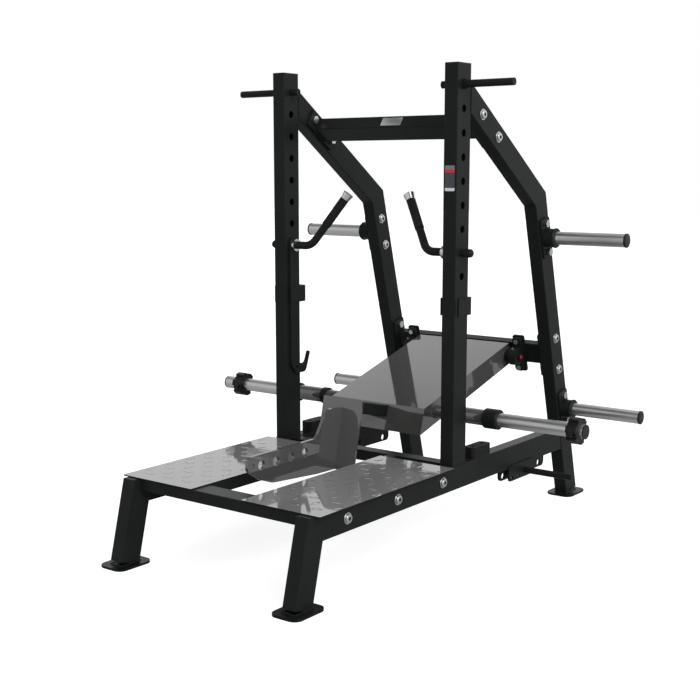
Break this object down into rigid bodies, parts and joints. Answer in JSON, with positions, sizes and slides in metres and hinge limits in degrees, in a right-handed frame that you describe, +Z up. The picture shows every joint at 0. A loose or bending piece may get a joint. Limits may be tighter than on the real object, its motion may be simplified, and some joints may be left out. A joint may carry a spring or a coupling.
{
  "type": "belt squat machine",
  "caption": "Plate-loaded belt squat machine: two side frames with tread platforms, a pivoting loading lever with a belt tongue, hook levers and storage horns.",
  "frame": {"origin": "on the floor, on the symmetry plane, half way along the machine's length", "axes": "+X to the user's right, square to the symmetry plane; +Y to the rear, from the platforms towards the lever pivot; +Z up"},
  "size_m": [1.63, 1.873, 1.657],
  "materials": {
    "frame_paint": "satin",
    "polished_steel": "mirror",
    "tread_plate": "polished diamond tread",
    "chrome": "bright",
    "zinc": "zinc plated",
    "black_rubber": "matt",
    "black_plastic": "fine grain",
    "decal_film": "plain film"
  },
  "bodies": {
    "root": {"band_pegs": "frame_paint", "beam_end_plates": "frame_paint", "bearing_inserts": "zinc", "bracket_hardware": "zinc", "floor_feet": "frame_paint", "frame_bolts": "zinc", "front_cross_beam": "frame_paint", "hanger_brackets": "frame_paint", "hook_keepers": "frame_paint", "horn_caps": "black_plastic", "horn_collars": "frame_paint", "left_base_rail": "frame_paint", "left_diagonal_brace": "frame_paint", "left_foot_platform": "tread_plate", "left_front_leg": "frame_paint", "left_lower_horn": "chrome", "left_rear_post": "frame_paint", "left_upper_horn": "chrome", "left_upright": "frame_paint", "lower_band_pegs": "frame_paint", "mid_cross_beam": "frame_paint", "pillow_blocks": "frame_paint", "pivot_plates": "frame_paint", "platform_frame": "frame_paint", "rear_cross_beam": "frame_paint", "right_base_rail": "frame_paint", "right_diagonal_brace": "frame_paint", "right_foot_platform": "tread_plate", "right_front_leg": "frame_paint", "right_lower_horn": "chrome", "right_rear_post": "frame_paint", "right_upper_horn": "chrome", "right_upright": "frame_paint", "stop_blocks": "black_rubber", "top_cross_beam": "frame_paint", "upright_caps": "black_plastic", "upright_decal": "decal_film"},
    "lever": {"lever_top_panel": "polished_steel", "lever_left_arm": "polished_steel", "lever_right_arm": "polished_steel", "lever_front_plate": "polished_steel", "lever_pivot_shaft": "zinc", "axle_tube": "polished_steel", "left_lever_sleeve": "chrome", "right_lever_sleeve": "chrome", "sleeve_collars": "frame_paint", "sleeve_caps": "black_plastic", "drop_neck": "frame_paint", "drop_plate": "polished_steel", "belt_tongue": "polished_steel"},
    "left_clamp": {"left_clamp_collar": "black_plastic"},
    "right_clamp": {"right_clamp_collar": "black_plastic"},
    "left_latch": {"left_clamp_latch": "black_plastic"},
    "right_latch": {"right_clamp_latch": "black_plastic"},
    "left_hook": {"left_hook_lever": "frame_paint", "left_grip": "black_rubber", "left_handle_trim": "chrome"},
    "right_hook": {"right_hook_lever": "frame_paint", "right_grip": "black_rubber", "right_handle_trim": "chrome"}
  },
  "joints": [
    {"name": "lever_pivot", "type": "hinge", "parent": "root", "child": "lever", "pos_m": [0, 0.64054, 0.5792], "axis": [-1, 0, 0], "range_deg": [-8.4, 26]},
    {"name": "left_hook_pivot", "type": "hinge", "parent": "root", "child": "left_hook", "pos_m": [-0.375, -0.00899, 1.028], "axis": [1, 0, 0], "range_deg": [-20, 9.2]},
    {"name": "left_clamp_slide", "type": "slide", "parent": "lever", "child": "left_clamp", "axis": [-1, 0, 0], "range_m": [-0.231, 0.057]},
    {"name": "left_latch_pivot", "type": "hinge", "parent": "left_clamp", "child": "left_latch", "pos_m": [-0.733, 0.08945, 0.45472], "axis": [-1, 0, 0], "range_deg": [0, 90]},
    {"name": "right_hook_pivot", "type": "hinge", "parent": "root", "child": "right_hook", "pos_m": [0.375, -0.00899, 1.028], "axis": [1, 0, 0], "range_deg": [-20, 9.2]},
    {"name": "right_clamp_slide", "type": "slide", "parent": "lever", "child": "right_clamp", "axis": [1, 0, 0], "range_m": [-0.276, 0.012]},
    {"name": "right_latch_pivot", "type": "hinge", "parent": "right_clamp", "child": "right_latch", "pos_m": [0.778, 0.08945, 0.45472], "axis": [-1, 0, 0], "range_deg": [0, 90]}
  ]
}
